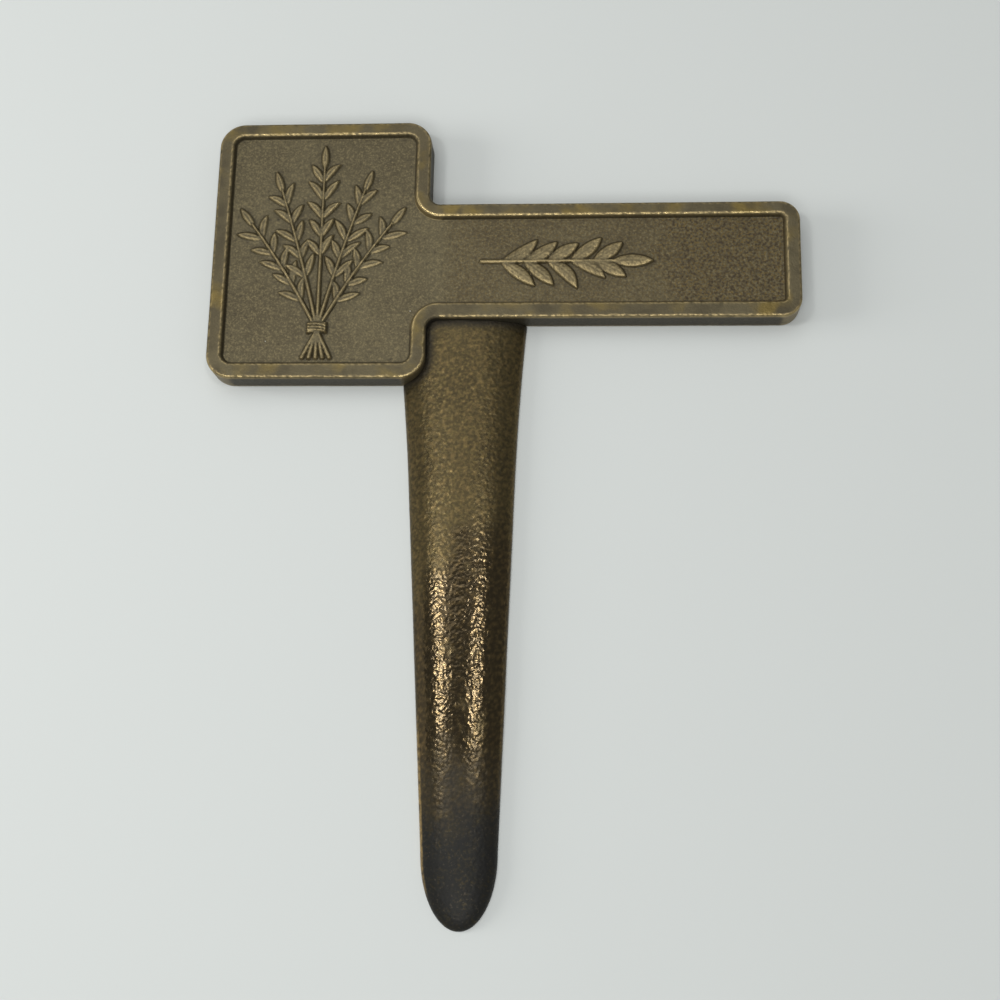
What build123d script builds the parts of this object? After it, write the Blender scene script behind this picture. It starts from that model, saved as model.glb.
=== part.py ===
from build123d import *
import math
import os

# A cast brass plant label, lying on its back as it does on a bench. X runs along the name bar,
# Y up the stake and Z out of the face. The origin is on the flat back, under the middle of the
# label. Sizes are in millimetres and angles in degrees.

# Name plate: a picture panel with a name bar beside it, in one casting
plate_thickness = 4.5
panel_width = 35.15
panel_height = 44.0
bar_length = 59.1  # from the panel's right edge to the bar's end
bar_height = 19.5
bar_drop = 14.5  # from the panel's top edge down to the bar's
panel_corner = 4.1
bar_corner = 3.2
inner_corner = 1.7

# Raised border round the sunk field
border_width = 2.3
border_outer_round = 0.45
border_inner_chamfer = 0.25
field_depth = 1.0
field_wall_slope = 18.0

# Stake: a half-oval blade, flat at the back, that flares a little towards the plate
stake_length = 93.4  # from the bar's lower edge to the tip
stake_offset = 5.45  # from the panel's right edge to the stake's middle
stake_lean = 1.1  # the stake is set a little askew, with its tip to the right
stake_top_width = 20.8
stake_crown = 3.4
flare_length = 26.5
flare_width = 1.6  # what the flare adds to the width at the plate
shoulder_width = 11.5
shoulder_crown = 2.5
tip_length = 11.0
tip_width = 1.2
tip_crown = 0.6
tip_steps = 8
blade_steps = 8
flare_steps = 8

# Joint: a tang on the stake lies in a pocket in the plate's back, held by two headed pins
joint_gap = 0.05
tang_width = 10.0
tang_length = 13.0
tang_root = 3.0  # how far the tang runs back into the blade
tang_thickness = 1.5
tang_corner = 2.0
pin_diameter = 2.6
pin_head_diameter = 4.2
pin_head_angle = 90.0
pin_depth = 0.9  # how far a pin reaches into the plate
pin_count = 2
pin_first = 3.4  # from the bar's lower edge to the first pin
pin_spacing = 6.0

# Cast relief: a tied bunch of leafy stems on the panel and one lying sprig on the bar
leaf_rise = 0.65
leaf_side_slope = 22.0
leaf_angle = 36.0
stem_rise = 0.5
stem_width = 0.8
bunch_foot = 1.4  # from the border to the stems' feet
bunch_height = 33.0
bunch_side_stems = 2  # on each side of the middle stem
bunch_fan = 12.5  # between the headings of neighbouring stems
bunch_curl = 6.0
bunch_crossing = 1.1  # between the stems' feet, which cross over to the other side at the tie
bunch_shortening = 3.2
bunch_leaf_start = 10.5  # on the outermost stems
bunch_leaf_delay = 3.3  # the leaves start this much higher on each stem further in
bunch_leaf_step = 3.1
bunch_leaf_length = 4.4
bunch_leaf_width = 1.3
tie_rise = 0.8
tie_height = 4.9
tie_length = 3.2
tie_width = 1.8
tie_corner = 0.5
bar_sprig_start = 8.6  # from the panel's right edge
bar_sprig_length = 21.4
bar_leaf_start = 3.0
bar_leaf_step = 3.7
bar_leaf_length = 6.8
bar_leaf_width = 2.2

# Places worked out from the sizes above
overall_width = panel_width + bar_length
overall_length = bar_drop + bar_height + stake_length
panel_left = -overall_width / 2
panel_right = panel_left + panel_width
panel_middle = (panel_left + panel_right) / 2
bar_right = panel_right + bar_length
panel_top = overall_length / 2
panel_bottom = panel_top - panel_height
bar_top = panel_top - bar_drop
bar_bottom = bar_top - bar_height
bar_middle = (bar_top + bar_bottom) / 2
foot_step = bar_bottom - panel_bottom
foot_corner = min(panel_corner, foot_step - inner_corner - border_outer_round)  # as round as its wall allows
field_level = plate_thickness - field_depth
bunch_bottom = panel_bottom + border_width + bunch_foot
straight_length = stake_length - tip_length - flare_length
tang_middle = (tang_length - tang_root) / 2
pin_reach = tang_thickness + joint_gap + pin_depth
pin_head_height = (pin_head_diameter - pin_diameter) / 2 / math.tan(math.radians(pin_head_angle / 2))
pin_rows = [pin_first + pin_spacing * i for i in range(pin_count)]

# The stake's plane has its origin where the stake meets the bar, and its Y up the stake.
# The back plane is the same one seen from behind, so its Y runs down the stake.
stake_plane = Plane(origin=(panel_right + stake_offset, bar_bottom, 0)).rotated((0, 0, stake_lean))
back_plane = Plane(origin=stake_plane.origin, x_dir=stake_plane.x_dir, z_dir=(0, 0, -1))
field_plane = Plane.XY.offset(field_level)


def tip_swell(rise):
    """How far the round tip has swelled at a height above its end, from 0 to 1."""
    return math.sqrt(1 - (1 - min(rise / tip_length, 1)) ** 2)


def blade_run(rise):
    """How far a height lies up the straight blade, from 0 at the shoulder to 1 at the plate."""
    return max(0, rise - tip_length) / (stake_length - tip_length)


def blade_half_width(rise):
    """Half the blade's width at a height above the tip."""
    tip = tip_width + (shoulder_width - tip_width) * tip_swell(rise)
    taper = (stake_top_width - flare_width - shoulder_width) * blade_run(rise)
    flare = flare_width * max(0, 1 - (stake_length - rise) / flare_length) ** 2
    return (tip + taper + flare) / 2


def blade_crown(rise):
    """The blade's thickness at its middle, at a height above the tip."""
    tip = tip_crown + (shoulder_crown - tip_crown) * tip_swell(rise)
    return tip + (stake_crown - shoulder_crown) * blade_run(rise)


def along(start, heading, curl, length, distance):
    """Point and heading at a distance along a stem, which is an arc that turns by its curl."""
    turn = curl * distance / length
    half_turn = math.radians(turn / 2)
    chord = distance * math.sin(half_turn) / half_turn if turn else distance
    middle = math.radians(heading) + half_turn
    point = (start[0] + chord * math.cos(middle), start[1] + chord * math.sin(middle))
    return point, heading + turn


def stem_face(stem):
    """A stem of even width along its arc, or along a line where it has no curl."""
    start, heading, curl, length = stem
    middle, _ = along(*stem, length / 2)
    end, _ = along(*stem, length)
    with BuildSketch(field_plane) as face:
        with BuildLine() as line:
            if curl:
                ThreePointArc(start, middle, end)
            else:
                Line(start, end)
        trace(line.line, line_width=stem_width)
    return face.sketch.faces()


def leaf_face(foot, heading, length, width):
    """A lens-shaped leaf with its foot at a point."""
    with BuildSketch(field_plane.moved(Location((*foot, 0), (0, 0, heading)))) as face:
        with BuildLine():
            ThreePointArc((0, 0), (length / 2, -width / 2), (length, 0))
            ThreePointArc((length, 0), (length / 2, width / 2), (0, 0))
        make_face()
    return face.sketch.faces()


def leaf_faces(stem, first, step, length, width):
    """Pairs of leaves at about a step apart along a stem, and one leaf that ends it."""
    leafy_length = stem[-1] - first
    pairs = round(leafy_length / step)
    foot, heading = along(*stem, stem[-1] - stem_width)
    faces = leaf_face(foot, heading, length, width)
    for i in range(pairs):
        foot, heading = along(*stem, first + leafy_length * i / pairs)
        for side in (-1, 1):
            faces += leaf_face(foot, heading + side * leaf_angle, length, width)
    return faces


# Outline of the plate, seen from the front
with BuildSketch() as outline:
    with BuildLine():
        FilletPolyline(
            (panel_left, panel_top),
            (panel_right, panel_top),
            (panel_right, bar_top),
            (bar_right, bar_top),
            (bar_right, bar_bottom),
            (panel_right, bar_bottom),
            (panel_right, panel_bottom),
            (panel_left, panel_bottom),
            radius=[
                panel_corner,
                panel_corner,
                inner_corner,
                bar_corner,
                bar_corner,
                inner_corner,
                foot_corner,
                panel_corner,
            ],
            close=True,
        )
    make_face()

# Stems and leaves of the relief. A stem is its foot, heading, curl and length.
bar_stem = ((panel_right + bar_sprig_start, bar_middle), 0, 0, bar_sprig_length)
stems = stem_face(bar_stem)
leaves = leaf_faces(bar_stem, bar_leaf_start, bar_leaf_step, bar_leaf_length, bar_leaf_width)
for i in range(-bunch_side_stems, bunch_side_stems + 1):
    bunch_stem = (
        (panel_middle - i * bunch_crossing, bunch_bottom),
        90 - i * bunch_fan,
        -i * bunch_curl,
        bunch_height - abs(i) * bunch_shortening,
    )
    first_leaf = bunch_leaf_start + (bunch_side_stems - abs(i)) * bunch_leaf_delay
    stems += stem_face(bunch_stem)
    leaves += leaf_faces(bunch_stem, first_leaf, bunch_leaf_step, bunch_leaf_length, bunch_leaf_width)

# Name plate with its border, sunk field and cast relief, and the tang's pocket in its back
with BuildPart() as plate:
    with BuildSketch():
        add(outline.sketch)
    extrude(amount=plate_thickness)
    fillet(plate.faces().sort_by(Axis.Z)[-1].edges(), border_outer_round)
    with BuildSketch(Plane.XY.offset(plate_thickness)):
        offset(outline.sketch, -border_width)
    extrude(amount=-field_depth, taper=field_wall_slope, mode=Mode.SUBTRACT)
    chamfer(plate.faces().sort_by(Axis.Z)[-1].inner_wires()[0].edges(), border_inner_chamfer)
    extrude(stems, amount=stem_rise)
    extrude(leaves, amount=leaf_rise, taper=leaf_side_slope)
    with BuildSketch(field_plane):
        with Locations((panel_middle, bunch_bottom + tie_height)):
            RectangleRounded(tie_length, tie_width, tie_corner)
    extrude(amount=tie_rise)
    with BuildSketch(stake_plane):
        with Locations((0, tang_middle)):
            RectangleRounded(
                tang_width + 2 * joint_gap,
                tang_length + tang_root + 2 * joint_gap,
                tang_corner + joint_gap,
            )
    extrude(amount=tang_thickness + joint_gap, mode=Mode.SUBTRACT)
    with Locations(back_plane):
        with Locations(*[(0, -row) for row in pin_rows]):
            Hole(pin_diameter / 2 + joint_gap, depth=pin_reach + joint_gap)
plate.part.label = "name_plate"

# Half-oval stake, coped round the plate's edge, with its tang
tip_rises = [tip_length * (1 - math.cos(math.pi / 2 * i / tip_steps)) for i in range(tip_steps + 1)]
blade_rises = [tip_length + straight_length * i / blade_steps for i in range(1, blade_steps)]
flare_rises = [stake_length - flare_length * (1 - i / flare_steps) for i in range(flare_steps + 1)]
under_border = stake_length + border_width
with BuildPart() as stake:
    for rise in tip_rises + blade_rises + flare_rises + [under_border]:
        with BuildSketch(stake_plane.moved(Location((0, rise - stake_length, 0), (90, 0, 0)))):
            with BuildLine():
                half_width = blade_half_width(rise)
                EllipticalCenterArc((0, 0), half_width, blade_crown(rise), arc_size=180)
                Line((-half_width, 0), (half_width, 0))
            make_face()
    loft(ruled=True)
    with BuildSketch():
        offset(outline.sketch, joint_gap)
    extrude(amount=plate_thickness, mode=Mode.SUBTRACT)
    with BuildSketch(stake_plane):
        with Locations((0, tang_middle)):
            RectangleRounded(tang_width, tang_length + tang_root, tang_corner)
    extrude(amount=tang_thickness)
    with Locations(back_plane):
        with Locations(*[(0, -row) for row in pin_rows]):
            CounterSinkHole(
                pin_diameter / 2 + joint_gap,
                pin_head_diameter / 2 + joint_gap,
                depth=pin_reach,
                counter_sink_angle=pin_head_angle,
            )
stake.part.label = "stake"

# Pins, each headed over in the tang's countersink and level with the back
with BuildPart() as pins:
    with Locations(stake_plane):
        with Locations(*[(0, row) for row in pin_rows]):
            Cylinder(pin_diameter / 2, pin_reach, align=(Align.CENTER, Align.CENTER, Align.MIN))
            Cone(
                pin_head_diameter / 2,
                pin_diameter / 2,
                pin_head_height,
                align=(Align.CENTER, Align.CENTER, Align.MIN),
            )
pins.part.label = "rivet_pins"

os.makedirs("parts", exist_ok=True)
for piece in (plate, stake, pins):
    export_step(piece.part, f"parts/{piece.part.label}.step")
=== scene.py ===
import math

import bmesh
import bpy
import numpy as np
from mathutils import Matrix, Vector, noise
from mathutils.geometry import delaunay_2d_cdt


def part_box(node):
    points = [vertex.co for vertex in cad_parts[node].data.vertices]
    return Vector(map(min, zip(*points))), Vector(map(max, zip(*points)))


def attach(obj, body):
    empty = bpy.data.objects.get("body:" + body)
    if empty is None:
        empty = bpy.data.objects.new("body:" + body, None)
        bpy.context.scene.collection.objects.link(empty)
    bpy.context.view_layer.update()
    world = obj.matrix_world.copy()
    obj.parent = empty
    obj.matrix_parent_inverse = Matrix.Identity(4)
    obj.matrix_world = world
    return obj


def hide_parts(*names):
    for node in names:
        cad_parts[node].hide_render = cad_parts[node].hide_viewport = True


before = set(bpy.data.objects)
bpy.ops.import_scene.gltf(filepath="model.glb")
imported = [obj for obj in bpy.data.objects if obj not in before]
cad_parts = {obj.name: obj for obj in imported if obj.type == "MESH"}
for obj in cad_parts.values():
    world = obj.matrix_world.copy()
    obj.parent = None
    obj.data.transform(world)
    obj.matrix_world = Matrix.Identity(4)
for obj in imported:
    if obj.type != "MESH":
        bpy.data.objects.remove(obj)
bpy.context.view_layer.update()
mm = 0.001  # shapes are worked out in millimetres and put in the scene in metres
dice = np.random.default_rng(7)
print("frame:", ", ".join(sorted(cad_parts)))


def smooth(low, high, value):  # rises softly from 0 at the low end of a range to 1 at its high end
    share = np.clip((value - low) / (high - low), 0, 1)
    return share * share * (3 - 2 * share)


def blend(first, second, share):
    return first + (second - first) * share


def fractal(points, size, octaves, shift):  # uneven cast skin, about -1 to 1, with lumps of a size in mm
    move = Vector((shift, 2.3 * shift, 5.1 * shift))  # to another part of the noise for each use
    fallOff, finer = 1.0, 2.0  # each octave is half as coarse as the last
    return np.array([noise.fractal(Vector(p) / size + move, fallOff, finer, octaves) for p in points])


def roundedOutline(corners, step, fewest=6):  # points and outward normals, clockwise from the front
    points, normals = [], []
    for i, (x, y, radius) in enumerate(corners):  # each corner is square
        before, after = corners[i - 1], corners[(i + 1) % len(corners)]
        here = np.array([x, y])
        back, ahead = np.array(before[:2]) - here, np.array(after[:2]) - here
        runLength = np.linalg.norm(ahead) - radius - after[2]
        back, ahead = back / np.linalg.norm(back), ahead / np.linalg.norm(ahead)
        bend = np.sign(back[0] * ahead[1] - back[1] * ahead[0])  # 1 where the corner stands out
        centre = here + (back + ahead) * radius
        arcSteps = max(fewest, round(radius * math.pi / 2 / step))
        for turn in np.linspace(0, math.pi / 2, arcSteps, endpoint=False):
            spoke = -ahead * math.cos(turn) - back * math.sin(turn)
            points.append(centre + spoke * radius)
            normals.append(spoke * bend)
        for run in np.linspace(0, runLength, round(runLength / step), endpoint=False):
            points.append(here + ahead * (radius + run))
            normals.append(-back * bend)
    return np.array(points), np.array(normals)


def insideRing(points, ring):
    inside = np.zeros(len(points), bool)
    for (x0, y0), (x1, y1) in zip(ring, np.roll(ring, -1, axis=0)):
        if y0 != y1:
            crosses = (points[:, 1] < y0) != (points[:, 1] < y1)
            inside ^= crosses & (points[:, 0] < x0 + (points[:, 1] - y0) * (x1 - x0) / (y1 - y0))
    return inside


def lattice(low, high, step):  # a triangular lattice, and which of its points make one of twice the step
    squash = 0.866  # rows are closer than points, as in triangles with equal sides
    rows = int((high[1] - low[1]) / (step * squash)) + 1
    columns = int((high[0] - low[0]) / step) + 1
    row, column = np.mgrid[0:rows, 0:columns]
    points = np.stack([low[0] + (column + row % 2 / 2) * step, low[1] + row * step * squash], -1)
    coarse = (row % 2 == 0) & ((column - row // 2) % 2 == 0)
    return points.reshape(-1, 2), coarse.ravel()


def fillRing(ring, inner):  # triangles between a ring of points and the points inside it
    points = [Vector(p) for p in np.vstack([ring, inner])]
    loop = [(i, (i + 1) % len(ring)) for i in range(len(ring))]
    insideOnly, sameSpot = 1, 1e-7
    _, _, faces, origins, _, _ = delaunay_2d_cdt(points, loop, [], insideOnly, sameSpot)
    return np.array([[origins[v][0] for v in face] for face in faces])


def makePiece(name, points, faces):
    mesh = bpy.data.meshes.new(name)
    mesh.from_pydata((np.asarray(points) * mm).tolist(), [], faces)
    mesh.validate()
    piece = bpy.data.objects.new(name, mesh)
    bpy.context.scene.collection.objects.link(piece)
    return piece


def tubeFaces(rings, around):  # quads from each ring of points to the next, and a face on each end
    last = (rings - 1) * around
    sides = [[k + i, k + (i + 1) % around, k + around + (i + 1) % around, k + around + i]
             for k in range(0, last, around) for i in range(around)]
    return sides + [list(range(around - 1, -1, -1)), list(range(last, last + around))]


def prism(name, outline, low, high):  # an upright block on a clockwise outline
    points = np.vstack([np.c_[outline, np.full(len(outline), z)] for z in (low, high)])
    return makePiece(name, points, [face[::-1] for face in tubeFaces(2, len(outline))])


def lathe(profile, centre, segments):  # points and faces of a closed turned piece on an upright axis
    turns = np.linspace(0, 2 * math.pi, segments, endpoint=False)
    rings = [np.c_[centre[0] + r * np.cos(turns), centre[1] + r * np.sin(turns), np.full(segments, z)]
             for r, z in profile]
    return np.vstack(rings), tubeFaces(len(profile), segments)


def carve(piece, *tools):  # takes the tools' shapes out of the piece and throws the tools away
    for tool in tools:
        cut = piece.modifiers.new("cut", "BOOLEAN")
        cut.operation = "DIFFERENCE"
        cut.solver = "EXACT"
        cut.object = tool
    whole = piece.evaluated_get(bpy.context.evaluated_depsgraph_get())
    mesh = bpy.data.meshes.new_from_object(whole)
    piece.modifiers.clear()
    piece.data = mesh
    for tool in tools:
        bpy.data.objects.remove(tool)
    sliver = 0.002 * mm  # the cuts leave slivers, which are closed up
    cleaned = bmesh.new()
    cleaned.from_mesh(mesh)
    bmesh.ops.remove_doubles(cleaned, verts=cleaned.verts, dist=sliver)
    bmesh.ops.dissolve_degenerate(cleaned, edges=cleaned.edges, dist=sliver)
    cleaned.to_mesh(mesh)
    cleaned.free()


def surface(piece):  # vertex places in mm, normals and edges
    mesh = piece.data
    places, normals = np.empty(len(mesh.vertices) * 3), np.empty(len(mesh.vertices) * 3, np.float32)
    edges = np.empty(len(mesh.edges) * 2, np.int32)
    mesh.vertices.foreach_get("co", places)
    mesh.vertex_normals.foreach_get("vector", normals)
    mesh.edges.foreach_get("vertices", edges)
    return places.reshape(-1, 3) / mm, normals.reshape(-1, 3), edges.reshape(-1, 2)


def hollowness(piece, rounds):  # how far the surface round each point stands above it, in mm
    places, normals, edges = surface(piece)
    count = len(places)
    ends, starts = np.r_[edges[:, 0], edges[:, 1]], np.r_[edges[:, 1], edges[:, 0]]
    shared = np.maximum(np.bincount(ends, minlength=count), 1)
    eased = places
    for _ in range(rounds):
        eased = np.stack([np.bincount(ends, eased[starts, axis], count) for axis in range(3)], 1)
        eased /= shared[:, None]
    return ((eased - places) * normals).sum(1)  # below 0 on edges


def keep(piece, name, values):  # a number for each point, which the material reads
    layer = piece.data.attributes.new(name, "FLOAT", "POINT")
    layer.data.foreach_set("value", np.clip(values, 0, 1).astype(np.float32))


def shade(piece, sharpAngle):
    piece.data.polygons.foreach_set("use_smooth", np.ones(len(piece.data.polygons), bool))
    piece.data.set_sharp_from_angle(angle=math.radians(sharpAngle))


# Name plate: a bordered panel with a bar beside it, in the solid's own sizes, in mm and degrees
plate = {
    "panelWidth": 35.15,
    "barHeight": 19.5,
    "barDrop": 14.5,
    "panelCorner": 4.1,
    "barCorner": 3.2,
    "innerCorner": 1.7,
    "borderWidth": 2.3,
    "outerRound": 0.45,
    "innerRound": 0.5,
    "footRound": 0.2,
    "backRound": 0.25,
    "fieldDepth": 1.0,
    "wallSlope": 18.0,
    "fieldShift": 0.2,  # the field sits this much high, so the upper border is the narrower
    "outlineStep": 0.3,
    "borderRows": {"round": 9, "wall": 9, "top": 8, "dip": 7, "slope": 4},  # mesh rows over its parts
    "unevenEdge": 0.05,  # how far the dressed edge wanders
    "unevenSize": 9.0,  # and over what length
    "grain": 0.03,  # height of the cast grain
    "grainSize": 0.5,
    "grainFrom": (0.3, 1.0),  # it sets in over these heights, and the back is smooth
    "fineMesh": 0.15,  # mesh spacing on the relief, twice this on the bare field
    "fineMargin": 0.3,  # how far the fine mesh reaches beyond the relief
    "bareBelow": 0.01,  # relief lower than this counts as bare field
    "fieldRoom": 0.75,  # kept free inside the border's mesh, in steps of the fine mesh
    "backMesh": 1.5,
    "backRoom": 0.5,
    "sharpAngle": 50.0,
}
plateLow, plateHigh = (np.array(corner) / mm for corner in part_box("name_plate"))
panelLeft, panelRight = plateLow[0], plateLow[0] + plate["panelWidth"]
panelMiddle = (panelLeft + panelRight) / 2
panelTop, panelBottom = plateHigh[1], plateLow[1]
barTop = panelTop - plate["barDrop"]
barBottom = barTop - plate["barHeight"]
barRight, thickness = plateHigh[0], plateHigh[2]
fieldLevel = thickness - plate["fieldDepth"]

# Stake: a half-oval blade with a tang that lies in the plate's back
stake = {
    "length": 93.4,
    "offset": 5.45,
    "lean": 1.1,
    "topWidth": 20.8,
    "crown": 3.4,
    "flareLength": 26.5,
    "flareWidth": 1.6,
    "flareLimit": 1.1,  # under the plate it goes on up to this
    "shoulderWidth": 11.5,
    "shoulderCrown": 2.5,
    "tipLength": 11.0,
    "tipStart": 0.03,  # the mesh starts this far above the very end
    "tipRows": 56,  # mesh rows over the rounded tip
    "gap": 0.05,
    "tangWidth": 10.0,
    "tangLength": 13.0,
    "tangRoot": 3.0,
    "tangThickness": 1.5,
    "tangCorner": 2.0,
    "across": 84,  # mesh steps over the front
    "backRows": np.array([0.94, 0.7, 0.25]),  # mesh rows on the back, as shares of half the width
    "along": 0.28,
    "grain": 0.018,
    "grainSize": 0.7,
    "wander": 0.07,
    "wanderSize": 8.0,
    "wanderStretch": (1, 0.5, 1),  # it is twice as long along the blade
    "rimSkin": 0.2,  # share of grain and wander that is left at the rim
    "rimHeight": 0.4,  # above this they are whole
    "tipSkin": 0.1,  # the most that they rise, and less near the tip, which grows no longer
    "tipSkinRun": 12.0,
    "sharpAngle": 50.0,
}
stakeFoot = np.array([panelRight + stake["offset"], barBottom])
leanTurn = math.radians(stake["lean"])
stakeUp = np.array([-math.sin(leanTurn), math.cos(leanTurn)])
stakeSide = np.array([math.cos(leanTurn), math.sin(leanTurn)])
beyond = 1.0  # how far a cutting shape stands out of what it cuts

# Pins: brass wire, headed over in the tang's countersinks and level with the back
pins = {
    "diameter": 2.6,
    "headDiameter": 4.2,
    "headHeight": 0.8,
    "headRings": (0.1, 0.35, 0.6, 0.8, 0.92),  # mesh rings on a head, as shares of its radius
    "rimInset": 0.06,
    "rimHeight": 0.07,
    "endChamfer": 0.1,
    "depth": 0.9,
    "first": 3.4,
    "spacing": 6.0,
    "count": 2,
    "segments": 64,
    "hammered": 0.05,  # depth of the hammer's dents
    "dentSize": 1.1,
    "dentMargin": 0.1,  # the head's outer edge has none
    "faceBelow": 0.06,  # and nothing higher up has any
    "paleBrass": (0.3, 0.9),  # how bright the flats and the edges are
    "edge": (0.0, 0.04),  # how far an edge stands out, and how deep a hollow lies
    "hollow": (0.0, 0.03),
    "sharpAngle": 40.0,
}


def onStake(points):  # from the stake's own middle line and heights above the bar's lower edge
    return stakeFoot + points[:, :1] * stakeSide + points[:, 1:2] * stakeUp


def tangOutline(extra):  # the tang's rounded outline, with room round it
    half = stake["tangWidth"] / 2 + extra
    low, high = -stake["tangRoot"] - extra, stake["tangLength"] + extra
    corner = stake["tangCorner"] + extra
    square = [(-half, high, corner), (half, high, corner), (half, low, corner), (-half, low, corner)]
    return onStake(roundedOutline(square, plate["outlineStep"])[0])


def pinPlaces():
    rows = pins["first"] + pins["spacing"] * np.arange(pins["count"])
    return onStake(np.c_[np.zeros(len(rows)), rows])


def pinCutters(head):  # holes for the pins, with their countersinks where head is true
    gap = stake["gap"]
    shank, top = pins["diameter"] / 2 + gap, stake["tangThickness"] + pins["depth"] + 2 * gap
    profile = [(shank, -beyond), (shank, top)]
    if head:
        wide = pins["headDiameter"] / 2 + gap
        profile = [(wide, -beyond), (wide, 0), (shank, pins["headHeight"]), (shank, top)]
    return [makePiece("pinHole", *lathe(profile, centre, pins["segments"])) for centre in pinPlaces()]


# Relief on the plate: a tied bunch of leafy stems on the panel and a lying sprig on the bar
relief = {
    "leafRise": 0.65,
    "layering": 0.16,  # leaves of the outer stems lie lower by this share, stem by stem
    "leafAngle": 36.0,
    "stemRise": 0.5,
    "stemWidth": 0.8,
    "stemTaper": (1.15, 0.7),  # shares of that width at the foot and at the end
    "stemFlank": (0.25, 1.15),  # a stem falls off between these shares of half its width
    "stemFlankCurve": 1.3,
    "bunchFoot": 1.4,
    "bunchHeight": 33.0,
    "sideStems": 2,
    "fan": 12.5,
    "curl": 6.0,
    "crossing": 1.1,
    "shortening": 3.2,
    "leafStart": 10.5,
    "leafDelay": 3.3,
    "leafStep": 3.1,
    "leafLength": 4.4,
    "leafWidth": 1.3,
    "turnSpread": (-9, 8),  # how leaves differ: in angle, length, height and bend
    "sizeSpread": (0.84, 1.05),
    "liftSpread": (0.85, 1.02),
    "bendSpread": (0.05, 0.45),
    "tieRise": 0.8,
    "tieHeight": 4.9,
    "tieLength": 3.2,
    "tieWidth": 1.8,
    "twine": 0.5,  # width of one turn of the twine
    "twineBow": 0.12,  # the turns bow by this much
    "twineBowTurn": 1.1,  # in radians per mm
    "twineSlant": 0.08,
    "twineLow": 0.72,  # height between two turns, as a share of the tie's
    "sprigStart": 8.6,
    "sprigLength": 21.4,
    "sprigLeafStart": 3.0,
    "sprigLeafStep": 3.7,
    "sprigLeafLength": 6.8,
    "sprigLeafWidth": 2.2,
    "leafTaper": 0.85,  # lower is blunter
    "leafReach": 0.5,  # a leaf's flanks end within this of its length
    "leafFoot": 0.4,  # shares of a leaf's rise: at its foot, more at its tip, and more along its middle
    "leafTip": 0.28,
    "leafDome": 0.42,
    "softness": 0.2,  # half the width of a leaf's flank
    "midrib": 0.08,  # depth of the groove along a leaf
    "midribWidth": 0.14,
    "midribStart": (0.02, 0.2),  # where it sets in and runs out along the leaf
    "midribEnd": (0.7, 0.95),
    "vein": 0.06,  # depth of the side veins on broad leaves
    "veinStep": 0.16,  # as a share of the leaf's length
    "veinSlant": 0.9,
    "veinEdge": (0.75, 1.0),
    "veinStart": (0.1, 0.25),  # distance from the midrib
    "veinedWidth": (1.8, 2.2),  # leaves narrower than this have none
}


def stemPlace(stem, distance):
    (x, y), heading, curl, length = stem
    turn = math.radians(curl) * distance / length
    chord = distance * (math.sin(turn / 2) / (turn / 2) if turn else 1)
    aim = math.radians(heading) + turn / 2
    return np.array([x + chord * math.cos(aim), y + chord * math.sin(aim)]), heading + math.degrees(turn)


def stemHeight(points, stem):  # a round ridge that thins towards the stem's end
    (x, y), heading, curl, length = stem
    aim = math.radians(heading)
    away = points - (x, y)
    if curl:
        radius = length / math.radians(curl)
        spoke = away - radius * np.array([-math.sin(aim), math.cos(aim)])
        start = math.atan2(-math.cos(aim) * radius, math.sin(aim) * radius)
        turned = (np.arctan2(spoke[:, 1], spoke[:, 0]) - start + math.pi) % (2 * math.pi) - math.pi
        along, across = turned * radius, np.hypot(*spoke.T) - abs(radius)
    else:
        along, across = away @ (math.cos(aim), math.sin(aim)), away @ (-math.sin(aim), math.cos(aim))
    half = relief["stemWidth"] / 2 * blend(*relief["stemTaper"], np.clip(along / length, 0, 1))
    past = np.maximum(np.maximum(-along, along - length), 0)
    flank = smooth(*relief["stemFlank"], np.hypot(across, past) / half)
    return relief["stemRise"] * (1 - flank ** relief["stemFlankCurve"])


def leafHeight(points, foot, heading, length, width, rise, bend):
    aim = math.radians(heading)
    away = points - foot
    along = away @ (math.cos(aim), math.sin(aim)) / length
    across = away @ (-math.sin(aim), math.cos(aim)) - bend * length * along * (1 - along)
    inside = np.clip(along, 0, 1)
    half = width / 2 * (4 * inside * (1 - inside)) ** relief["leafTaper"]
    edge = np.where((along > 0) & (along < 1), half - np.abs(across), -1)
    flank = smooth(-relief["softness"], relief["softness"], edge)
    dome = relief["leafFoot"] + relief["leafTip"] * inside
    dome += relief["leafDome"] * np.sqrt(np.clip(edge, 0, None) / (width / 2))
    groove = np.exp(-(across / relief["midribWidth"]) ** 2)
    groove *= smooth(*relief["midribStart"], along) * (1 - smooth(*relief["midribEnd"], along))
    slanted = along * length - np.abs(across) * relief["veinSlant"]
    veins = np.abs(slanted / (relief["veinStep"] * length) % 1 - 0.5) * 2
    ribbing = smooth(*relief["veinEdge"], veins) * smooth(*relief["veinStart"], np.abs(across))
    ribbing *= smooth(*relief["veinedWidth"], width)
    return flank * (rise * dome - relief["midrib"] * groove - relief["vein"] * ribbing)


def leavesOf(stem, rise, first, step, length, width):  # as foot, heading, length, width, rise and bend
    leafy = stem[3] - first
    pairs = round(leafy / step)
    foot, heading = stemPlace(stem, stem[3] - relief["stemWidth"])
    leaves = [(foot, heading, length, width, rise, 0.0)]
    for i in range(pairs):
        foot, heading = stemPlace(stem, first + leafy * i / pairs)
        for side in (-1, 1):
            turn = relief["leafAngle"] + dice.uniform(*relief["turnSpread"])
            size = dice.uniform(*relief["sizeSpread"])
            lift = rise * dice.uniform(*relief["liftSpread"])
            bend = -side * dice.uniform(*relief["bendSpread"])
            leaves.append((foot, heading + side * turn, length * size, width, lift, bend))
    return leaves


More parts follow.
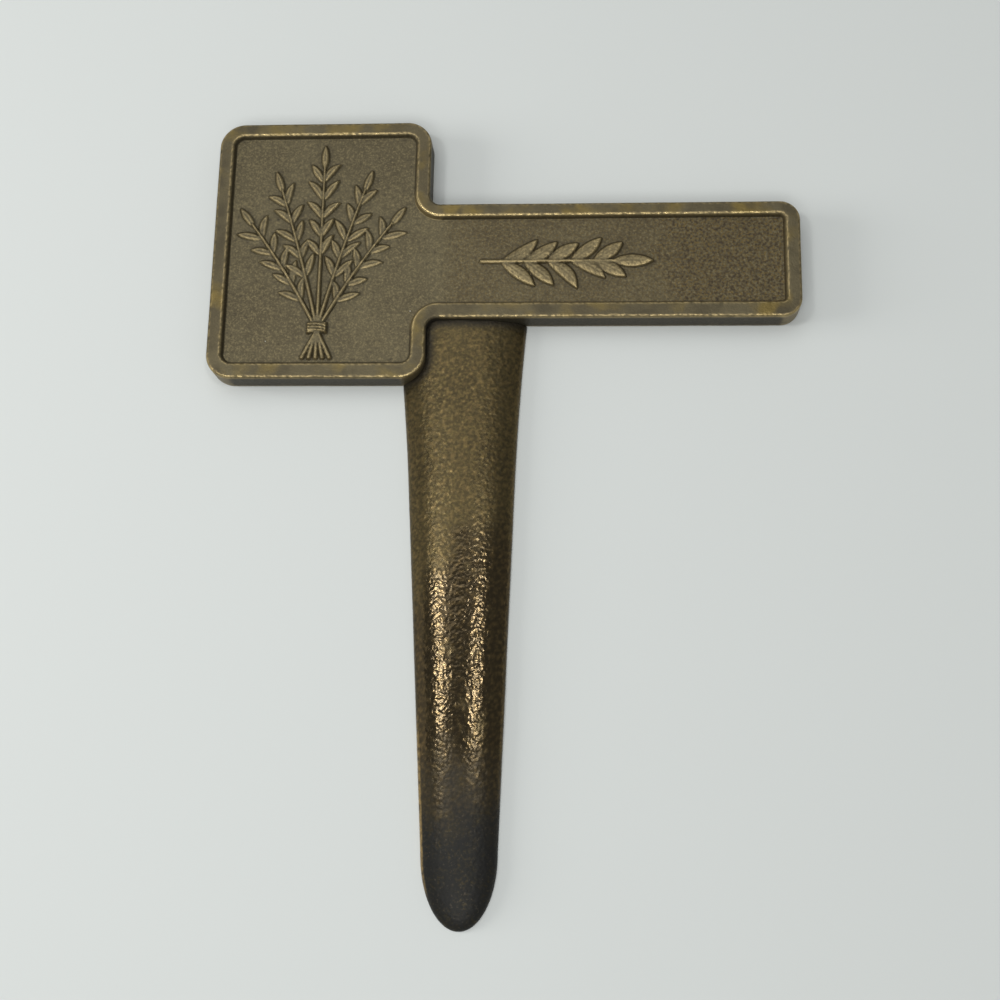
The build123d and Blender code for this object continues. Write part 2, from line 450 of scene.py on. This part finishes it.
def layRelief():  # every stem, as foot, heading, curl and length, and every leaf
    sprig = ((panelRight + relief["sprigStart"], (barTop + barBottom) / 2), 0.0, 0.0, relief["sprigLength"])
    stems = [sprig]
    leaves = leavesOf(sprig, relief["leafRise"], relief["sprigLeafStart"], relief["sprigLeafStep"],
                      relief["sprigLeafLength"], relief["sprigLeafWidth"])
    for i in range(-relief["sideStems"], relief["sideStems"] + 1):
        stem = ((panelMiddle - i * relief["crossing"], bunchBottom), 90 - i * relief["fan"],
                -i * relief["curl"], relief["bunchHeight"] - abs(i) * relief["shortening"])
        first = relief["leafStart"] + (relief["sideStems"] - abs(i)) * relief["leafDelay"]
        rise = relief["leafRise"] * (1 - abs(i) * relief["layering"])
        stems.append(stem)
        leaves += leavesOf(stem, rise, first, relief["leafStep"], relief["leafLength"], relief["leafWidth"])
    return stems, leaves


def reliefHeight(points):  # height above the field, in mm
    height = np.zeros(len(points))
    for stem in stems:
        height = np.maximum(height, stemHeight(points, stem))
    for leaf in leaves:
        foot, _, length, *_ = leaf
        near = np.hypot(*(points - foot).T) < length + relief["leafReach"]
        height[near] = np.maximum(height[near], leafHeight(points[near], *leaf))
    across, up = (points - (panelMiddle, bunchBottom + relief["tieHeight"])).T
    up = up - relief["twineBow"] * np.cos(across * relief["twineBowTurn"])
    edge = np.minimum(relief["tieLength"] / 2 - np.abs(across), relief["tieWidth"] / 2 - np.abs(up))
    turns = np.abs(np.cos(math.pi * (up + relief["twineSlant"] * across) / relief["twine"]))
    tie = relief["tieRise"] * smooth(-relief["softness"], relief["softness"], edge)
    return np.maximum(height, tie * blend(relief["twineLow"], 1, turns))


bunchBottom = panelBottom + plate["borderWidth"] + relief["bunchFoot"]
stems, leaves = layRelief()
print("relief:", len(stems), "stems,", len(leaves), "leaves")


# Plate casting
def plateOutline():
    return roundedOutline([
        (panelLeft, panelTop, plate["panelCorner"]),
        (panelRight, panelTop, plate["panelCorner"]),
        (panelRight, barTop, plate["innerCorner"]),
        (barRight, barTop, plate["barCorner"]),
        (barRight, barBottom, plate["barCorner"]),
        (panelRight, barBottom, plate["innerCorner"]),
        (panelRight, panelBottom, plate["panelCorner"]),
        (panelLeft, panelBottom, plate["panelCorner"]),
    ], plate["outlineStep"])


def borderProfile():  # inset from the outline and height, from the back, up the wall and over to the field
    rows = plate["borderRows"]
    quarter = np.linspace(0, math.pi / 2, rows["round"])
    slope = math.radians(90 - plate["wallSlope"])
    dip = np.linspace(0, slope, rows["dip"])
    backRound, outerRound = plate["backRound"], plate["outerRound"]
    innerRound, footRound = plate["innerRound"], plate["footRound"]
    brow = plate["borderWidth"] - innerRound * math.tan(slope / 2)
    foot = plate["borderWidth"] + plate["fieldDepth"] / math.tan(slope) + footRound * math.tan(slope / 2)
    steps = [(backRound * (1 - math.sin(a)), backRound * (1 - math.cos(a))) for a in quarter[::2]]
    steps += [(0, z) for z in np.linspace(backRound, thickness - outerRound, rows["wall"])[1:-1]]
    steps += [(outerRound * (1 - math.cos(a)), thickness - outerRound * (1 - math.sin(a))) for a in quarter]
    steps += [(d, thickness) for d in np.linspace(outerRound, brow, rows["top"])[1:-1]]
    steps += [(brow + innerRound * math.sin(a), thickness - innerRound * (1 - math.cos(a))) for a in dip]
    wall = [(foot - footRound * math.sin(a), fieldLevel + footRound * (1 - math.cos(a))) for a in dip[::-1]]
    share = np.linspace(0, 1, rows["slope"])[1:-1, None]
    return np.vstack([steps, steps[-1] + share * (np.array(wall[0]) - steps[-1]), wall])


def borderRings(outline, normals):  # rings of points along the outline, one for each step of the profile
    profile = borderProfile()
    waves = fractal(np.c_[outline, np.zeros(len(outline))], plate["unevenSize"], octaves=2, shift=3.1)
    wander = np.clip(plate["unevenEdge"] * (0.5 + 0.5 * waves), 0, None)[:, None]
    lifts = plate["fieldShift"] * smooth(plate["outerRound"], plate["borderWidth"], profile[:, 0])
    return [np.c_[outline - normals * (inset + wander) + (0, lift), np.full(len(outline), height)]
            for (inset, height), lift in zip(profile, lifts)]


def fieldPoints(ring, normals):  # the field with its relief, where the mesh is finer
    points, coarse = lattice(ring.min(0), ring.max(0), plate["fineMesh"])
    inside = insideRing(points, ring - normals * plate["fieldRoom"] * plate["fineMesh"])
    points, coarse = points[inside], coarse[inside]
    nearRelief = np.zeros(len(points), bool)
    for nudge in np.array([(0, 0), (1, 0), (-1, 0), (0, 1), (0, -1)]) * plate["fineMargin"]:
        nearRelief |= reliefHeight(points + nudge) > plate["bareBelow"]
    points = points[coarse | nearRelief]
    return np.c_[points, fieldLevel + reliefHeight(points)]


def backPoints(ring, normals):
    points, _ = lattice(ring.min(0), ring.max(0), plate["backMesh"])
    points = points[insideRing(points, ring - normals * plate["backRoom"] * plate["backMesh"])]
    return np.c_[points, np.zeros(len(points))]


def makePlate():
    outline, normals = plateOutline()
    rings = borderRings(outline, normals)
    fieldRing, backRing = rings[-1][:, :2], rings[0][:, :2]
    field, back = fieldPoints(fieldRing, normals), backPoints(backRing, normals)
    count = len(outline)
    onBorder = len(rings) * count
    faces = [[k * count + i, (k + 1) * count + i,
              (k + 1) * count + (i + 1) % count, k * count + (i + 1) % count]
             for k in range(len(rings) - 1) for i in range(count)]
    faces += (fillRing(fieldRing, field[:, :2]) + onBorder - count).tolist()
    triangles = fillRing(backRing, back[:, :2])[:, ::-1]
    faces += np.where(triangles < count, triangles, triangles - count + onBorder + len(field)).tolist()
    points = np.vstack([*rings, field, back])
    front = smooth(*plate["grainFrom"], points[:, 2])
    skin = fractal(points, plate["grainSize"], octaves=3, shift=1.7)
    points[:, 2] += np.minimum(plate["grain"] * skin * front, thickness - points[:, 2])
    piece = makePiece("plate_casting", points, faces)
    pocket = prism("pocket", tangOutline(stake["gap"]), -beyond, stake["tangThickness"] + stake["gap"])
    carve(piece, pocket, *pinCutters(False))
    shade(piece, plate["sharpAngle"])
    return piece


# Wear, dirt, painted shade and painted highlights of the plate: a pair is a range over which something sets
# in, or how much of it two places have
plateWear = {
    "raised": (0.25, 0.6),  # height above the field
    "border": (0.8, 0.95),
    "wall": (0.12, 0.45),  # how far a face looks forward, out of 1; walls do so little
    "ledge": (0.2, 0.7),  # and how far it looks up
    "ledgeShade": 0.3,  # how much of the walls' painted shade is left on faces that look up
    "bar": (1.0, 5.0),  # distance beyond the panel
    "handled": (-0.6, -0.2),  # nothing handles what looks back
    "edge": (0.008, 0.05),  # how far an edge stands out
    "facesTip": (0.05, 0.35),
    "glintByFacing": (0.55, 1.0),  # edges that face the tip get a painted highlight: they are made paler than the other worn edges
    "rubbedEdge": (0.34, 0.96),  # on the relief, and on the border
    "rubbedRelief": (0.02, 0.12),  # on the panel, and on the bar
    "rubbedBorder": 0.01,
    "fineHollow": (0.008, 0.07),
    "fineGrime": 0.14,
    "broadHollow": (0.02, 0.2),
    "broadGrime": 0.06,
    # painted shade on the walls
    "wallShade": 0.7,
    "sunk": (1.0, 0.25),  # on the field, and on the border
    "stainedFrom": 22.0,  # the bar's end is stained more from here on along X
    "stainWander": 4.0,
    "stainSize": 6.0,
    "stainFade": 5.0,
    "stainedBar": 0.5,
}


def weatherPlate(piece):  # where handling has rubbed the patina off and where dirt has stayed, with painted shade on the walls and a painted highlight on edges that face the tip
    wear = plateWear
    places, normals, _ = surface(piece)
    along, height = places[:, 0], places[:, 2] - fieldLevel
    upward, forward = normals[:, 1], normals[:, 2]
    fine, broad = hollowness(piece, rounds=5), hollowness(piece, rounds=30)
    raised, border = smooth(*wear["raised"], height), smooth(*wear["border"], height)
    onBar = smooth(*wear["bar"], along - panelRight)
    handled = smooth(*wear["handled"], forward)
    edges = smooth(*wear["edge"], -fine) * handled
    # painted highlight: edges that face the tip are made paler than the rest
    edges *= blend(*wear["glintByFacing"], smooth(*wear["facesTip"], -upward))
    paleBrass = edges * blend(*wear["rubbedEdge"], border) + wear["rubbedBorder"] * border
    paleBrass += raised * (1 - border) * blend(*wear["rubbedRelief"], onBar)
    # painted shade: walls are darkened, less where they look up
    walls = 1 - smooth(*wear["wall"], np.abs(forward))
    walls *= blend(1, wear["ledgeShade"], smooth(*wear["ledge"], upward))
    hollows = wear["fineGrime"] * smooth(*wear["fineHollow"], fine)
    hollows += wear["broadGrime"] * smooth(*wear["broadHollow"], broad)
    patchy = along - wear["stainWander"] * fractal(places, wear["stainSize"], octaves=3, shift=2.2)
    barEnd = smooth(0, wear["stainFade"], patchy - wear["stainedFrom"])
    stained = blend(barEnd, onBar, wear["stainedBar"])
    keep(piece, "paleBrass", paleBrass)
    keep(piece, "darkening", hollows * handled + wear["wallShade"] * walls)
    keep(piece, "sunk", blend(*wear["sunk"], border))
    keep(piece, "border", border)
    keep(piece, "stained", stained * (1 - raised) * (forward > 0))


plateCasting = makePlate()
weatherPlate(plateCasting)
print("plate casting:", len(plateCasting.data.polygons), "faces")


# Stake casting
def bladeShape(rise):  # half the width, and the height at the middle, at a height above the tip
    rise = np.asarray(rise, float)
    swell = np.sqrt(1 - (1 - np.clip(rise / stake["tipLength"], 0, 1)) ** 2)
    run = np.clip(rise - stake["tipLength"], 0, None) / (stake["length"] - stake["tipLength"])
    flaring = np.clip(1 - (stake["length"] - rise) / stake["flareLength"], 0, stake["flareLimit"])
    taper = (stake["topWidth"] - stake["flareWidth"] - stake["shoulderWidth"]) * run
    width = stake["shoulderWidth"] * swell + taper + stake["flareWidth"] * flaring ** 2
    crown = stake["shoulderCrown"] * swell + (stake["crown"] - stake["shoulderCrown"]) * run
    return width / 2, crown


def bladePoints():  # rows of points round the blade, from the tip up, and how many rows and columns
    reach = stake["length"] + stake["tangLength"] + beyond
    tip = stake["tipLength"] * (1 - np.cos(np.linspace(0, math.pi / 2, stake["tipRows"])))
    tip = stake["tipStart"] + tip[1:] * (1 - stake["tipStart"] / stake["tipLength"])
    body = np.arange(stake["tipLength"] + stake["along"], reach, stake["along"])
    rises = np.r_[stake["tipStart"], tip, body]
    turns = np.linspace(0, math.pi, stake["across"] + 1)
    across = np.r_[np.cos(turns), -stake["backRows"], stake["backRows"][::-1]]  # the front, then the back
    upright = np.r_[np.sin(turns), np.full(2 * len(stake["backRows"]), -1.0)]
    columns = len(across)
    half, crown = (size[:, None] for size in bladeShape(rises))
    up = np.repeat(rises[:, None] - stake["length"], columns, 1)
    blade = np.stack([half * across, up, crown * np.clip(upright, 0, None)], -1).reshape(-1, 3)
    facing = np.stack([across / half, np.zeros_like(up), upright / crown], -1)
    facing = (facing / np.linalg.norm(facing, axis=-1, keepdims=True)).reshape(-1, 3)
    skin = stake["grain"] * fractal(blade, stake["grainSize"], octaves=3, shift=4.2)
    stretched = blade * stake["wanderStretch"]
    skin += stake["wander"] * fractal(stretched, stake["wanderSize"], octaves=2, shift=8.4)
    skin *= blend(stake["rimSkin"], 1, smooth(0, stake["rimHeight"], blade[:, 2]))
    mostSkin = stake["tipSkin"] * smooth(0, stake["tipSkinRun"], blade[:, 1] + stake["length"])
    blade += facing * np.minimum(skin, mostSkin)[:, None]
    levelWithBack = 1e-6
    onBack = np.tile(upright < levelWithBack, len(rises))
    blade[:, 2] = np.where(onBack, 0, np.maximum(blade[:, 2], 0))
    return np.c_[onStake(blade[:, :2]), blade[:, 2]], len(rises), columns


def makeStake():
    blade, rows, columns = bladePoints()
    piece = makePiece("stake_casting", blade, [face[::-1] for face in tubeFaces(rows, columns)])
    outline, normals = plateOutline()
    coping = prism("coping", outline + normals * stake["gap"], -beyond, thickness + beyond)
    carve(coping, prism("tang", tangOutline(0), -2 * beyond, stake["tangThickness"]))
    carve(piece, coping, *pinCutters(True))
    shade(piece, stake["sharpAngle"])
    return piece


# Wear and soil of the stake, with painted shade at the seam and a painted highlight on the left rim: a pair
# is a range over which something sets in; lines are heights above the tip
stakeWear = {
    "patches": 5.0,  # how far the lines below wander
    "patchSize": 6.0,
    "soilLine": 20.8,  # soil has greyed the blade up to about here
    "soilFade": (-10, 8),
    "polishedTo": 59.5,  # and rubbed it smooth up to about here
    "polishSlant": 1.4,  # it reaches this much less far for each mm to the left of the middle
    "polishFade": (-5, 4),
    "dulled": 0.8,  # how much of the polish the soil hides
    "rim": (0.9, 0.95),  # the left rim is worn and painted pale on that side only, as a highlight, from these shares of half the width
    "rimStart": (4, 9),
    "rimEnd": (24, 34),
    "nearPlate": 14.0,  # the distance to the plate counts from this far below the bar
    "clear": (0.6, 2.5),  # nothing rubs the blade close to the plate
    "seam": (0.2, 1.8),  # and painted shade darkens the blade there, under the plate's edge
    # painted shade along the seam
    "seamShade": 0.8,
    "skinBend": (0.002, 0.012),  # how far bumps stand out of the skin, and pits lie in it
    "skinRubbed": 0.2,
    "skinGrime": 0.25,
}


def weatherStake(piece):
    wear = stakeWear
    places, _, _ = surface(piece)
    own = (places[:, :2] - stakeFoot) @ np.stack([stakeSide, stakeUp], 1)
    rise = own[:, 1] + stake["length"]
    fine = hollowness(piece, rounds=4)
    outline, _ = plateOutline()
    toPlate = np.full(len(places), np.inf)
    for i in np.flatnonzero(rise > stake["length"] - wear["nearPlate"]):
        toPlate[i] = np.hypot(*(outline - places[i, :2]).T).min()
    patchy = rise + wear["patches"] * fractal(places, wear["patchSize"], octaves=3, shift=6.6)
    soiled = 1 - smooth(*wear["soilFade"], patchy - wear["soilLine"])
    polishLine = wear["polishedTo"] + wear["polishSlant"] * np.minimum(own[:, 0], 0)
    polished = (1 - smooth(*wear["polishFade"], patchy - polishLine)) * (1 - wear["dulled"] * soiled)
    half, _ = bladeShape(rise)
    rim = smooth(*wear["rim"], -own[:, 0] / half)
    rim *= smooth(*wear["rimStart"], rise) * (1 - smooth(*wear["rimEnd"], rise))
    clear, seam = smooth(*wear["clear"], toPlate), 1 - smooth(*wear["seam"], toPlate)
    bumps, pits = smooth(*wear["skinBend"], -fine), smooth(*wear["skinBend"], fine)
    # the left rim's share here is a painted highlight
    keep(piece, "paleBrass", clear * wear["skinRubbed"] * bumps * (1 - soiled) + rim)
    keep(piece, "polished", clear * polished)
    # the seam's share here is painted shade; the pits' is dirt
    keep(piece, "darkening", wear["skinGrime"] * pits + wear["seamShade"] * seam)
    keep(piece, "soiled", soiled)


stakeCasting = makeStake()
weatherStake(stakeCasting)
print("stake casting:", len(stakeCasting.data.polygons), "faces")


# Pins
def makePins():
    shank, head = pins["diameter"] / 2, pins["headDiameter"] / 2
    top, chamfer = stake["tangThickness"] + stake["gap"] + pins["depth"], pins["endChamfer"]
    profile = [(head * share, pins["hammered"] * (1 - share)) for share in pins["headRings"]]
    profile += [(head - pins["rimInset"], 0.0), (head, pins["rimHeight"]), (shank, pins["headHeight"])]
    profile += [(shank, top - chamfer), (shank - chamfer, top)]
    points, faces = [], []
    for centre in pinPlaces():
        turned, around = lathe(profile, centre, pins["segments"])
        waves = fractal(turned, pins["dentSize"], octaves=2, shift=9.3)
        dents = np.clip(pins["hammered"] * (0.5 + 0.5 * waves), 0, None)
        fromMiddle = np.hypot(*(turned[:, :2] - centre).T)
        onHead = (turned[:, 2] < pins["faceBelow"]) & (fromMiddle < head - pins["dentMargin"])
        turned[:, 2] += dents * onHead
        faces += [[v + len(points) for v in face] for face in around]
        points += turned.tolist()
    piece = makePiece("rivet_heads", points, faces)
    shade(piece, pins["sharpAngle"])
    fine = hollowness(piece, rounds=2)
    keep(piece, "paleBrass", blend(*pins["paleBrass"], smooth(*pins["edge"], -fine)))
    keep(piece, "darkening", smooth(*pins["hollow"], fine))
    return piece


rivetPins = makePins()
print("rivet pins:", len(rivetPins.data.polygons), "faces")


# Materials
def linear(colour):  # sRGB hex to the linear numbers that nodes take
    shares = [int(colour[i:i + 2], 16) / 255 for i in (1, 3, 5)]
    return tuple(s / 12.92 if s <= 0.04045 else ((s + 0.055) / 1.055) ** 2.4 for s in shares) + (1.0,)


def addNode(tree, kind, inputs, **settings):  # inputs are sockets to link from, or values
    made = tree.nodes.new("ShaderNode" + kind)
    for name, value in settings.items():
        setattr(made, name, value)
    for socket, value in inputs.items():
        if isinstance(value, bpy.types.NodeSocket):
            tree.links.new(value, made.inputs[socket])
        else:
            made.inputs[socket].default_value = value
    return made


def perSize(size):  # a texture's scale for features of a size in mm
    return 1 / (size * mm)


# A layer is its colour, metallic, roughness, the attribute that says where it lies, the size of its
# mottling in mm, and the part of the mottling's range over which it fades in.
# A grain is its size and height in mm, and its detail.
mottlingDetail = 4.0

# Sand-cast brass under a chemical patina: dull olive brown, matt, dark in hollows, yellow on rubbed edges;
# its walls carry painted shade and its edges that face the tip a painted highlight
plateLook = {
    "patina": ("#5f5742", 0.8, 0.48),
    "layers": [
        ("#544c39", 0.75, 0.5, None, 9.0, (0.42, 0.66)),
        ("#7a6f52", 0.9, 0.4, "sunk", 0.3, (0.45, 0.75)),
        ("#423b2d", 0.6, 0.55, "sunk", 0.6, (0.55, 0.76)),
        ("#665634", 0.85, 0.46, "stained", 0.35, (0.44, 0.62)),
        ("#3e3425", 0.6, 0.55, "stained", 0.45, (0.44, 0.66)),
        ("#70613a", 0.95, 0.38, "border", 7.0, (0.5, 0.66)),
        ("#4e4736", 0.75, 0.5, "border", 4.0, (0.48, 0.66)),
        # dirt in hollows, and painted shade on the walls
        ("#24221c", 0.4, 0.6, "darkening", 2.0, (0.05, 0.4)),
        # worn brass on edges and relief, with a painted highlight on edges that face the tip
        ("#d8bf88", 1.0, 0.17, "paleBrass", 1.4, (0.1, 0.5)),
        ("#b4b0a2", 0.0, 0.6, None, 0.8, (0.78, 0.81)),
    ],
    "grains": [(0.28, 0.04, 3.0), (0.6, 0.04, 3.0)],
}
# The same brass from a coarser mould: golden brown and a little glossier, soil-greyed towards the tip
stakeLook = {
    "patina": ("#4a412c", 0.9, 0.36),
    "layers": [
        ("#413927", 0.9, 0.38, None, 7.0, (0.4, 0.64)),
        ("#5f5335", 0.95, 0.3, None, 0.42, (0.46, 0.72)),
        ("#453c2d", 1.0, 0.17, "polished", 3.0, (0.1, 0.45)),
        # dirt in the pits, and painted shade along the seam with the plate
        ("#201c15", 0.5, 0.55, "darkening", 2.0, (0.05, 0.4)),
        ("#22211d", 0.6, 0.5, "soiled", 0.5, (0.15, 0.5)),
        ("#1b1a17", 0.5, 0.5, "soiled", 2.5, (0.4, 0.65)),
        ("#463f33", 0.6, 0.45, "soiled", 0.4, (0.6, 0.76)),
        # worn brass on the bumps, and a painted highlight on the left rim
        ("#b1935e", 1.0, 0.22, "paleBrass", 0.9, (0.25, 0.65)),
    ],
    "grains": [(0.5, 0.042, 0.5), (1.0, 0.04, 0.8)],
}
# Drawn brass wire, headed cold with a hammer: yellower and smoother than the castings
pinLook = {
    "patina": ("#7c683f", 0.9, 0.36),
    "layers": [
        ("#6a5736", 0.9, 0.4, None, 2.0, (0.4, 0.64)),
        ("#2e271b", 0.5, 0.55, "darkening", 1.0, (0.05, 0.4)),
        ("#c0a266", 1.0, 0.26, "paleBrass", 0.7, (0.25, 0.65)),
    ],
    "grains": [(0.25, 0.006, 3.0)],
}


def agedBrass(name, look):
    material = bpy.data.materials.new(name)
    material.use_nodes = True
    tree = material.node_tree
    tree.nodes.clear()
    places = addNode(tree, "TexCoord", {}).outputs["Object"]
    colour, metallic, roughness = look["patina"]
    colour = linear(colour)
    for tint, metalShare, dullness, where, size, (low, high) in look["layers"]:
        texture = {"Vector": places, "Scale": perSize(size), "Detail": mottlingDetail}
        mottling = addNode(tree, "TexNoise", texture).outputs["Fac"]
        fade = addNode(tree, "MapRange", {"Value": mottling, "From Min": low, "From Max": high})
        share = fade.outputs["Result"]
        if where:
            lies = addNode(tree, "Attribute", {}, attribute_name=where)
            both = addNode(tree, "Math", {0: share, 1: lies.outputs["Fac"]}, operation="MULTIPLY")
            share = both.outputs["Value"]
        colour = addNode(tree, "Mix", {0: share, 6: colour, 7: linear(tint)}, data_type="RGBA").outputs[2]
        metallic = addNode(tree, "Mix", {0: share, 2: metallic, 3: metalShare}).outputs[0]
        roughness = addNode(tree, "Mix", {0: share, 2: roughness, 3: dullness}).outputs[0]
    inputs = {"Base Color": colour, "Metallic": metallic, "Roughness": roughness}
    for size, height, detail in look["grains"]:
        grain = addNode(tree, "TexNoise", {"Vector": places, "Scale": perSize(size), "Detail": detail})
        bump = {"Height": grain.outputs["Fac"], "Distance": height * mm}
        if "Normal" in inputs:  # a second grain lies on the first
            bump["Normal"] = inputs["Normal"]
        inputs["Normal"] = addNode(tree, "Bump", bump).outputs["Normal"]
    shader = addNode(tree, "BsdfPrincipled", inputs)
    addNode(tree, "OutputMaterial", {"Surface": shader.outputs["BSDF"]})
    return material


for piece, node, slot, name, look in (
    (plateCasting, "name_plate", "plate_brass", "castBrassOlivePatina", plateLook),
    (stakeCasting, "stake", "stake_brass", "sandCastBrassBrown", stakeLook),
    (rivetPins, "rivet_pins", "pin_brass", "drawnBrassWire", pinLook),
):
    piece.data.materials.clear()
    piece.data.materials.append(agedBrass(name, look))
    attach(piece, "root")
    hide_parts(node)
print("materials done")

# Floor, light and camera
studio = {
    "floor": "#ced1ce",
    "floorRoughness": 0.7,
    "floorSize": 3000.0,
    "floorDrop": 0.02,
    "world": "#e9edee",
    "worldStrength": 0.4,
    "lamps": [  # name, place and size in mm, radiance, and if the brass mirrors it; each faces the middle
        ("leftStrip", (-249, 25, 500), (36, 70), 45.0, True),
        ("rightStrip", (114, 9, 500), (38, 30), 70.0, True),
        ("frontPanel", (-50, -330, 500), (420, 160), 4.3, True),
        ("backPanel", (-108, 262, 500), (480, 380), 1.05, True),
        ("crownPanel", (-49, 142, 500), (80, 60), 2.4, True),
        ("sidePanel", (-600, 20, 200), (450, 400), 0.55, True),
        ("shadowLamp", (-520, 20, 165), (240, 200), 11.0, False),
    ],
    "cameraPlace": (14.91, -48.30, 212.68),
    "cameraAim": (0.06, 1.13, 0.0),
    "cameraRoll": 1.178,
    "lens": 50.4,
    "clipStart": 10.0,
}
scene = bpy.context.scene


def makeFloor():
    half = studio["floorSize"] / 2
    z = -studio["floorDrop"]
    corners = [(-half, -half, z), (half, -half, z), (half, half, z), (-half, half, z)]
    floor = makePiece("floor", corners, [[0, 1, 2, 3]])
    card = bpy.data.materials.new("paleCard")  # matt white card: even and without gloss
    card.use_nodes = True
    shader = card.node_tree.nodes["Principled BSDF"]
    shader.inputs["Base Color"].default_value = linear(studio["floor"])
    shader.inputs["Roughness"].default_value = studio["floorRoughness"]
    floor.data.materials.append(card)


def makeLight():
    scene.world = bpy.data.worlds.new("studio")
    scene.world.use_nodes = True
    sky = scene.world.node_tree.nodes["Background"]
    sky.inputs["Color"].default_value = linear(studio["world"])
    sky.inputs["Strength"].default_value = studio["worldStrength"]
    for name, place, size, radiance, mirrored in studio["lamps"]:
        lamp = bpy.data.lights.new(name, "AREA")
        lamp.shape = "RECTANGLE"
        lamp.size, lamp.size_y = size[0] * mm, size[1] * mm
        lamp.energy = radiance * math.pi * lamp.size * lamp.size_y  # in watts
        holder = bpy.data.objects.new(name, lamp)
        scene.collection.objects.link(holder)
        holder.visible_camera, holder.visible_glossy = False, mirrored
        holder.location = Vector(place) * mm
        holder.rotation_euler = Vector(place).to_track_quat("Z", "Y").to_euler()


def makeCamera():
    camera = bpy.data.objects.new("camera", bpy.data.cameras.new("camera"))
    scene.collection.objects.link(camera)
    camera.data.lens = studio["lens"]
    camera.data.clip_start = studio["clipStart"] * mm
    ahead = (Vector(studio["cameraAim"]) - Vector(studio["cameraPlace"])).normalized()
    side = ahead.cross(Vector((0, 1, 0))).normalized()
    up = side.cross(ahead)
    roll = math.radians(studio["cameraRoll"])
    side, up = side * math.cos(roll) + up * math.sin(roll), up * math.cos(roll) - side * math.sin(roll)
    turned = Matrix((side, up, -ahead)).transposed().to_4x4()
    camera.matrix_world = Matrix.Translation(Vector(studio["cameraPlace"]) * mm) @ turned
    scene.camera = camera


makeFloor()
makeLight()
makeCamera()
scene.view_settings.view_transform = "Standard"
print("studio done")
